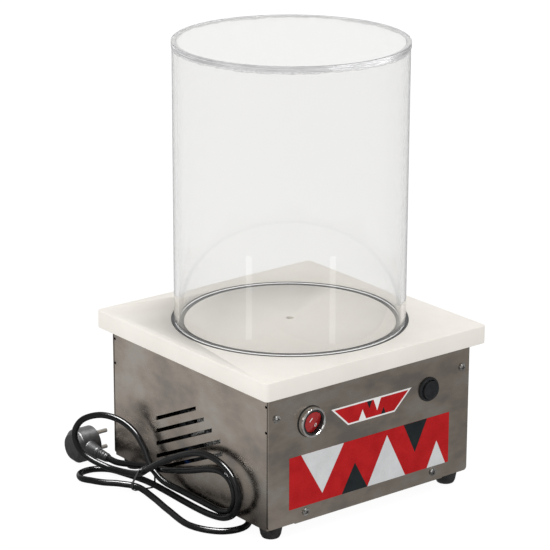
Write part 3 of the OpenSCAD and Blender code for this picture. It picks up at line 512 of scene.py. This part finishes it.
tube_outline = rounded([(TUBE_IN, tube_low), (TUBE_OUT, tube_low),
                        (TUBE_OUT, disc_low - FILM), (TUBE_IN, disc_low - FILM)], 0.15, 2)
add_piece("bell_wall", mesh_from("bell_wall", lathe(tube_outline, steps=256)),
          "bell", "clear_acrylic", ["bell_tube"])

disc_outline = rounded([(0, disc_low), (DISC_R, disc_low), (DISC_R, disc_high),
                        (0, disc_high)], [0, 0.3, 0.5, 0], 3)
disc_mesh = mesh_from("bell_top", lathe(disc_outline, steps=256))
bell_top = add_piece("bell_top", disc_mesh, "bell", "clear_acrylic", ["bell_disc"],
                     extra=[disc_edge])
# Faces that are steeper than this are the disc's sawn edge
EDGE_SLOPE = 0.75
for polygon in disc_mesh.polygons:
    if abs(polygon.normal.z) < EDGE_SLOPE:
        polygon.material_index = 1


def wobble(angle, seed):
    """An uneven edge as a sum of waves that close round the ring, from -1 to 1."""
    waves = ((5, 0.30, 1.3), (13, 0.25, 4.1), (31, 0.25, 2.2), (67, 0.20, 0.7))
    return sum(size * math.sin(n * angle + phase * seed) for n, size, phase in waves)


def cement_ring(name, lines, steps=512):
    """A thin uneven ring: lines gives its outline at an angle, as (radius, height) in mm."""
    bm = bmesh.new()
    rings = []
    for k in range(steps):
        a = TAU * k / steps
        rings.append([bm.verts.new(mm(r * math.cos(a), r * math.sin(a), z))
                      for r, z in lines(a)])
    for k in range(steps):
        here, there = rings[k], rings[(k + 1) % steps]
        for i in range(len(here)):
            j = (i + 1) % len(here)
            bm.faces.new((here[i], there[i], there[j], here[j]))
    return mesh_from(name, bm, 60)


def film_outline(a):
    """The film of cement between the tube's end and the disc."""
    reach = 0.35 * wobble(a, 3.0)
    return [(TUBE_IN + 0.9 + reach, disc_low - 0.1), (TUBE_OUT - 0.2, disc_low - 0.1),
            (TUBE_OUT - 0.2, disc_low - 0.04), (TUBE_IN + 0.9 + reach, disc_low - 0.04)]


def bead_outline(a):
    """The bead of cement that ran down outside the tube."""
    drop = 2.2 + 1.1 * wobble(a, 1.0)
    swell = 0.45 + 0.2 * wobble(a, 2.0)
    inner = TUBE_OUT + 0.03
    return [(inner, disc_low - 0.03), (inner, disc_low - drop),
            (inner + swell * 0.5, disc_low - drop + 0.1),
            (inner + swell, disc_low - drop * 0.5), (inner + swell, disc_low - 0.03)]


film = add_piece("cement_film", cement_ring("cement_film", film_outline), "bell",
                 "acrylic_cement")
bead = add_piece("cement_bead", cement_ring("cement_bead", bead_outline), "bell",
                 "acrylic_cement", ["bell_cement"])


# ---------- labels ----------

PANEL_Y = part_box("front_panel")[0].y / MM
# Thickness of a label's film, its inner field and its ink, and how deep each is sunk
LABEL_T, FIELD_T, INK_T, SUNK = 0.2, 0.015, 0.03, 0.01
# A label's colours, by the place of their materials on the piece
RED, GREY, DARK, WHITE = 0, 1, 2, 3


def plate(bm, outline, y_back, y_front, material=RED):
    """Adds a flat plate on the front: its outline is in (x, z), in mm."""
    back = [bm.verts.new(mm(x, y_back, z)) for x, z in outline]
    face = [bm.verts.new(mm(x, y_front, z)) for x, z in outline]
    made = [bm.faces.new(face), bm.faces.new(back[::-1])]
    for i in range(len(outline)):
        j = (i + 1) % len(outline)
        made.append(bm.faces.new((face[i], back[i], back[j], face[j])))
    for f in made:
        f.material_index = material


def label(name, node, ground, shapes, border=None):
    """A printed film: a ground, an inner field where there is a border, and its shapes."""
    bm = bmesh.new()
    skin = PANEL_Y - LABEL_T
    plate(bm, ground, PANEL_Y - SUNK, skin, WHITE if border else RED)
    if border:
        plate(bm, border, skin + SUNK, skin - FIELD_T)
    for outline, material in shapes:
        plate(bm, outline, skin + SUNK, skin - INK_T, material)
    return add_piece(name, mesh_from(name, bm), "casing", "label_red", [node],
                     extra=[label_grey, label_black, label_white])


def triangles(low, high, left, right, rows):
    """Plain triangles that stand on the lower edge or hang from the upper one: each row gives
    the middle, the base and the reach as shares of the field, the way up and the colour."""
    shapes = []
    for middle, base, reach, stands, colour in rows:
        x = left + (right - left) * middle
        half = (right - left) * base / 2
        foot, way = (low, 1) if stands else (high, -1)
        shapes.append(([(x - half, foot), (x + half, foot), (x, foot + way * reach * (high - low))],
                       colour))
    return shapes


low_at, low_to = (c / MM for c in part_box("lower_label"))
label("lower_label_film", "lower_label",
      rounded([(low_at.x, low_at.z), (low_to.x, low_at.z), (low_to.x, low_to.z),
               (low_at.x, low_to.z)], 0.6, 3),
      triangles(low_at.z, low_to.z, low_at.x, low_to.x,
                [(0.20, 0.26, 0.85, False, GREY), (0.40, 0.16, 0.55, True, DARK),
                 (0.60, 0.24, 0.90, True, GREY), (0.78, 0.15, 0.60, False, DARK),
                 (0.92, 0.12, 0.50, True, GREY)]))

up_at, up_to = (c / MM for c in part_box("upper_label"))
# Half the width of the upper label's lower edge, and the width of its white border
UPPER_FOOT, EDGE = 32.0, 1.7
slant = (up_to.x - UPPER_FOOT) / (up_to.z - up_at.z)
inner_low, inner_high = up_at.z + EDGE, up_to.z - EDGE


def upper_half(z, inset):
    """Half the upper label's width at a height, less an inset."""
    return UPPER_FOOT + slant * (z - up_at.z) - inset


upper_outline = [(-UPPER_FOOT, up_at.z), (UPPER_FOOT, up_at.z), (up_to.x, up_to.z),
                 (-up_to.x, up_to.z)]
inset = EDGE * math.hypot(1, slant)
inner_outline = [(-upper_half(inner_low, inset), inner_low), (upper_half(inner_low, inset),
                 inner_low), (upper_half(inner_high, inset), inner_high),
                 (-upper_half(inner_high, inset), inner_high)]
inner_reach = upper_half(inner_low, inset)
label("upper_label_film", "upper_label", upper_outline,
      triangles(inner_low, inner_high, -inner_reach, inner_reach,
                [(0.30, 0.16, 0.60, True, WHITE), (0.45, 0.12, 0.45, False, DARK),
                 (0.62, 0.16, 0.70, False, WHITE), (0.76, 0.10, 0.40, True, DARK)]),
      inner_outline)


# ---------- switch ----------

SWITCH_X, SWITCH_Z = -82.5, 123.3
bezel_outline = rounded([(13.3, 0.02), (13.3, 5.3), (13.9, 6.5), (14.9, 6.78), (15.8, 6.1),
                         (16.25, 4.6), (16.28, 0.02)], [0.1, 0.5, 0.7, 0.9, 0.9, 0.9, 0.1], 4)
bezel = add_piece("switch_ring", mesh_from("switch_ring", lathe(
    bezel_outline, front(SWITCH_X, SWITCH_Z, PANEL_Y))), "casing", "nickel", ["switch_bezel"])
# A thin black ring at the bezel's foot, put there as a painted shadow: it gives the bezel the dark
# outline that its shade would give.
painted_shadow_ring_outline = rounded([(16.3, 0.01), (16.95, 0.01), (16.95, 0.7), (16.3, 0.9)], 0.1, 2)
add_piece("switch_painted_shadow_ring", mesh_from("switch_painted_shadow_ring", lathe(
    painted_shadow_ring_outline, front(SWITCH_X, SWITCH_Z, PANEL_Y))), "casing", "black_rubber")

rocker = add_piece("rocker", mesh_from("rocker", soft_copy("switch_rocker", 0.35, 25), 28),
                   "rocker", "switch_red", ["switch_rocker"])
ROCKER_TILT, ROCKER_FACE, ROCKER_PIVOT = math.radians(10), 1.5, 4
MARK_OUT, MARK_IN = 0.06, 0.05
rocker_place = (Matrix.Translation(mm(SWITCH_X, PANEL_Y - ROCKER_PIVOT, SWITCH_Z))
                @ Matrix.Rotation(ROCKER_TILT, 4, Vector((1, 0, 1)))
                @ Matrix.Rotation(math.radians(45), 4, "Y"))


def mark_on_rocker(name, outlines, side):
    """Thin printed marks on one of the rocker's two faces, from outlines in mm on that face."""
    bm = bmesh.new()
    face = rocker_place @ Matrix.Rotation(side * ROCKER_TILT, 4, "Z")
    for outer, inner in outlines:
        levels = [[bm.verts.new(face @ mm(x, y, z)) for x, z in ring]
                  for y in (-ROCKER_FACE - MARK_OUT, -ROCKER_FACE + MARK_IN)
                  for ring in ([outer, inner] if inner else [outer])]
        count = len(outer)
        for i in range(count):
            j = (i + 1) % count
            if inner:
                a, b, c, d = levels
                for p, q in ((a, b), (b, d), (d, c), (c, a)):
                    bm.faces.new((p[i], p[j], q[j], q[i]))
            else:
                a, c = levels
                bm.faces.new((a[i], a[j], c[j], c[i]))
        if not inner:
            bm.faces.new(levels[0])
            bm.faces.new(levels[1][::-1])
    return add_piece(name, mesh_from(name, bm), "rocker", "white_plastic")


def circle(x, radius, steps=32):
    return [(x + radius * math.cos(TAU * k / steps), radius * math.sin(TAU * k / steps))
            for k in range(steps)]


OFF_X, OFF_OUT, OFF_IN = 5.2, 2.0, 1.2
stroke = rounded([(-5.6, -2.6), (-4.6, -2.6), (-4.6, 2.6), (-5.6, 2.6)], 0.4, 3)
mark_on_rocker("mark_on", [(stroke, None)], -1)
mark_on_rocker("mark_off", [(circle(OFF_X, OFF_OUT), circle(OFF_X, OFF_IN))], 1)


# ---------- release button ----------

BUTTON_X, BUTTON_Z = 79.5, 121.5
collar_outline = rounded([(10.75, -5.9), (12.0, -5.9), (12.0, 0.02), (13.45, 0.02),
                          (13.45, 1.6), (11.6, 3.0), (10.75, 3.0)],
                         [0, 0, 0, 0.1, 1.0, 0.9, 0.2], 5)
collar = add_piece("button_collar", mesh_from("button_collar", lathe(
    collar_outline, front(BUTTON_X, BUTTON_Z, PANEL_Y))), "casing", "black_gloss",
    ["release_collar"])
cap_outline = rounded([(0, 4.6), (8.6, 4.6), (10.35, 5.4), (10.35, 0.5), (8.2, 0.5),
                       (8.2, 3.4), (4.2, 3.4), (4.2, 2.9), (0, 2.9)],
                      [0, 0.4, 0.1, 0.1, 0, 0, 0, 0, 0], 3)
cap = add_piece("button_cap", mesh_from("button_cap", lathe(
    cap_outline, front(BUTTON_X, BUTTON_Z, PANEL_Y))), "release_button", "black_gloss",
    ["release_cap"])


SPRING_TURNS, SPRING_R, WIRE_R, TURN_STEPS = 4, 5.4, 0.4, 24
SPRING_IN, SPRING_OUT = PANEL_Y + 5.5, PANEL_Y - 2.8
coil = [mm(BUTTON_X + SPRING_R * math.cos(TAU * k / TURN_STEPS),
           SPRING_IN + (SPRING_OUT - SPRING_IN) * k / (TURN_STEPS * SPRING_TURNS),
           BUTTON_Z + SPRING_R * math.sin(TAU * k / TURN_STEPS))
        for k in range(TURN_STEPS * SPRING_TURNS + 1)]
coil_curve = bpy.data.objects.new("coil", tube("coil", coil, WIRE_R, sides=3))
spring = add_piece("button_spring", bpy.data.meshes.new_from_object(coil_curve), "casing",
                   "shaft_steel", ["release_spring"])
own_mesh(spring)


# ---------- feet ----------

def foot(name, x, y):
    """A rubber foot with a hollow for its screw, turned about its middle."""
    outline = rounded([(5, 6), (5, 0), (9.2, 0), (10.9, 3.5), (12.8, 14), (2.2, 14), (2.2, 6)],
                      [0, 0.4, 1.2, 2.5, 0.2, 0, 0], 5)
    return mesh_from(name, lathe(outline, Matrix.Translation(mm(x, y, 0)), 64))


FOOT_AT = 121.5
for number, (sx, sy) in enumerate(((-1, -1), (1, -1), (-1, 1), (1, 1)), 1):
    add_piece(f"foot_{number}", foot(f"foot_{number}", sx * FOOT_AT, sy * FOOT_AT), "casing",
              "black_rubber", ["rubber_feet"])


# ---------- floor, world and lights ----------

floor_mesh = bpy.data.meshes.new("floor")
FLOOR_HALF, FLOOR_Z = 30.0, -0.0003
floor_mesh.from_pydata([(x * FLOOR_HALF, y * FLOOR_HALF, FLOOR_Z)
                        for x, y in ((-1, -1), (1, -1), (1, 1), (-1, 1))], [], [(0, 1, 2, 3)])
floor = bpy.data.objects.new("floor", floor_mesh)
bpy.context.scene.collection.objects.link(floor)


def toward(tree, place, aim, low, high, start, end):
    """Goes from low to high as a place's direction from the middle turns towards aim."""
    way = add_node(tree, "ShaderNodeVectorMath", {0: place}, operation="NORMALIZE")
    share = add_node(tree, "ShaderNodeVectorMath", {0: way.outputs[0]}, {1: aim},
                     operation="DOT_PRODUCT")
    return spread(tree, share.outputs["Value"], low, high, start, end)


def choose(tree, flag, otherwise, chosen):
    """One of two strengths, each a socket or a number."""
    mix = add_node(tree, "ShaderNodeMix", {0: flag}, data_type="FLOAT")
    for socket, value in ((mix.inputs[2], otherwise), (mix.inputs[3], chosen)):
        if isinstance(value, float):
            socket.default_value = value
        else:
            tree.links.new(value, socket)
    return mix.outputs[0]


def backdrop_rays(tree):
    """1 where a ray from the camera, or through the acrylic, looks at the backdrop."""
    rays = add_node(tree, "ShaderNodeLightPath").outputs
    return add_node(tree, "ShaderNodeMath", {0: rays["Is Camera Ray"],
                    1: rays["Is Transmission Ray"]}, operation="MAXIMUM").outputs[0]


def lit_or_mirrored(tree, lit, mirrored):
    """The strength that lights the object, and the one its glossy surfaces mirror."""
    rays = add_node(tree, "ShaderNodeLightPath").outputs
    return choose(tree, rays["Is Diffuse Ray"], mirrored, lit)


# How wide the shade's edge is between the left and the front, in metres
SHADE_BLUR = 0.06


def near_shade(tree, place, least, start, end):
    """The floor's shade to the left and behind: from least at start to 1 at end metres out."""
    parts = add_node(tree, "ShaderNodeSeparateXYZ", {0: place}).outputs
    far = [add_node(tree, "ShaderNodeMath", {0: parts[k]}, operation="ABSOLUTE").outputs[0]
           for k in range(2)]
    reach = add_node(tree, "ShaderNodeMath", {0: far[0], 1: far[1]}, operation="MAXIMUM")
    to_front = add_node(tree, "ShaderNodeMath", {0: parts[0], 1: parts[1]}, operation="SUBTRACT")
    return add_node(tree, "ShaderNodeMath", {
        0: spread(tree, reach.outputs[0], least, 1.0, start, end),
        1: spread(tree, to_front.outputs[0], least, 1.0, 0.0, SHADE_BLUR)},
        operation="MAXIMUM").outputs[0]


BACK_LEFT, BEHIND = (-0.707, 0.707, 0.0), (0.618, 0.786, 0.0)
# Strengths of the floor and the world: as the camera sees them, as they light the object, and
# as its glossy surfaces mirror them, each of the last two from one side round to the other
FLOOR_SEEN, WORLD_SEEN = 1.08, 1.12
FLOOR_LIT, WORLD_LIT = (0.69, 0.84), (0.88, 1.04)
FLOOR_MIRRORED, WORLD_MIRRORED = (0.275, 0.54), (0.34, 0.90)
ALL_ROUND, BEHIND_ONLY = (-0.9, 0.9), (0.55, 0.95)
# The mirrored floor's least share, and where its shade starts and ends, in metres
NEAR_SHADE = (0.15, 0.14, 0.29)
# The share of the visible floor that takes shadows
SHADOW_SHARE = 0.12
floor_mat = bpy.data.materials.new("floor")
floor_mat.use_nodes = True
floor_mat.cycles.emission_sampling = "NONE"
tree = floor_mat.node_tree
tree.nodes.remove(tree.nodes["Principled BSDF"])
place = add_node(tree, "ShaderNodeNewGeometry").outputs["Position"]
paper = noise(tree, place, 3.0)
shade = add_node(tree, "ShaderNodeBsdfDiffuse",
                 {"Color": ramp(tree, paper, [(0.80, 0.80, 0.80), (0.84, 0.84, 0.84)])})
glow = add_node(tree, "ShaderNodeEmission", inputs={"Strength": FLOOR_SEEN})
backdrop = add_node(tree, "ShaderNodeMixShader", {1: glow.outputs[0], 2: shade.outputs[0]},
                    {0: SHADOW_SHARE})
mirrored = add_node(tree, "ShaderNodeMath", {
    0: toward(tree, place, BACK_LEFT, *FLOOR_MIRRORED, *ALL_ROUND),
    1: near_shade(tree, place, *NEAR_SHADE)}, operation="MULTIPLY")
around = add_node(tree, "ShaderNodeEmission", {"Strength": lit_or_mirrored(
    tree, toward(tree, place, BACK_LEFT, *FLOOR_LIT, *ALL_ROUND), mirrored.outputs[0])})
pick = add_node(tree, "ShaderNodeMixShader", {0: backdrop_rays(tree), 1: around.outputs[0],
                                              2: backdrop.outputs[0]})
tree.links.new(pick.outputs[0], tree.nodes["Material Output"].inputs["Surface"])
floor_mesh.materials.append(floor_mat)

world = bpy.data.worlds.new("studio")
bpy.context.scene.world = world
world.use_nodes = True
world.cycles.sampling_method = "NONE"
tree = world.node_tree
place = add_node(tree, "ShaderNodeTexCoord").outputs["Generated"]
sky = lit_or_mirrored(tree, toward(tree, place, BACK_LEFT, *WORLD_LIT, *ALL_ROUND),
                      toward(tree, place, BEHIND, *WORLD_MIRRORED, *BEHIND_ONLY))
background = tree.nodes["Background"]
background.inputs["Color"].default_value = (1.0, 1.0, 1.0, 1.0)
tree.links.new(choose(tree, backdrop_rays(tree), sky, WORLD_SEEN), background.inputs["Strength"])


def soft_light(name, at, aim, size, power, tall=None, glossy_only=False):
    """A rectangular light that the camera doesn't see; it may light nothing but highlights."""
    data = bpy.data.lights.new(name, "AREA")
    data.shape = "RECTANGLE"
    data.size, data.size_y = size, tall or size
    data.energy = power
    light = bpy.data.objects.new(name, data)
    light.matrix_world = (Matrix.Translation(at)
                          @ (Vector(aim) - Vector(at)).to_track_quat("-Z", "Y").to_matrix().to_4x4())
    light.visible_camera = False
    light.visible_transmission = False
    light.visible_diffuse = not glossy_only
    bpy.context.scene.collection.objects.link(light)
    return light


def lights_only(light, *pieces):
    """Keeps a light for the highlights of a few pieces."""
    receivers = bpy.data.collections.new(light.name)
    for piece in pieces:
        receivers.objects.link(piece)
    light.light_linking.receiver_collection = receivers


soft_light("top_light", (0.2, 0.3, 2.4), (0, 0, 0.2), 1.8, 7)
soft_light("key_light", (-2.2, -0.6, 1.5), (0, 0, 0.2), 1.3, 8)
soft_light("front_light", (0.4, -2.4, 1.3), (0, 0, 0.2), 1.0, 3)
overhead = soft_light("overhead_gloss", (-0.2, 0.0, 2.2), (-0.15, 0, 0), 1.6, 450,
                      glossy_only=True)
edge_glow = soft_light("edge_glow", (0.62, -1.03, 0.15), (0, 0, 0.48), 1.7, 24, tall=0.5,
                       glossy_only=True)
lights_only(overhead, lead, plug, relief, tie, tie_turn, bezel, rocker, collar, cap,
            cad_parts["panel_screws"])
lights_only(edge_glow, bell_top, film, bead)
# Two small windows that the casing's walls mirror, at their height and this far from the middle
WINDOW_FAR, WINDOW_Z, WINDOW_W, WINDOW_H, WINDOW_POWER = 0.6, 0.064, 0.06, 0.147, 0.045
for window, turn in (("window_left", 195), ("window_front", 269)):
    a = math.radians(turn)
    soft_light(window, (WINDOW_FAR * math.cos(a), WINDOW_FAR * math.sin(a), WINDOW_Z),
               (0, 0, WINDOW_Z), WINDOW_W, WINDOW_POWER, tall=WINDOW_H, glossy_only=True)

bpy.context.scene.view_settings.view_transform = "Standard"
bpy.context.scene.view_settings.look = "None"
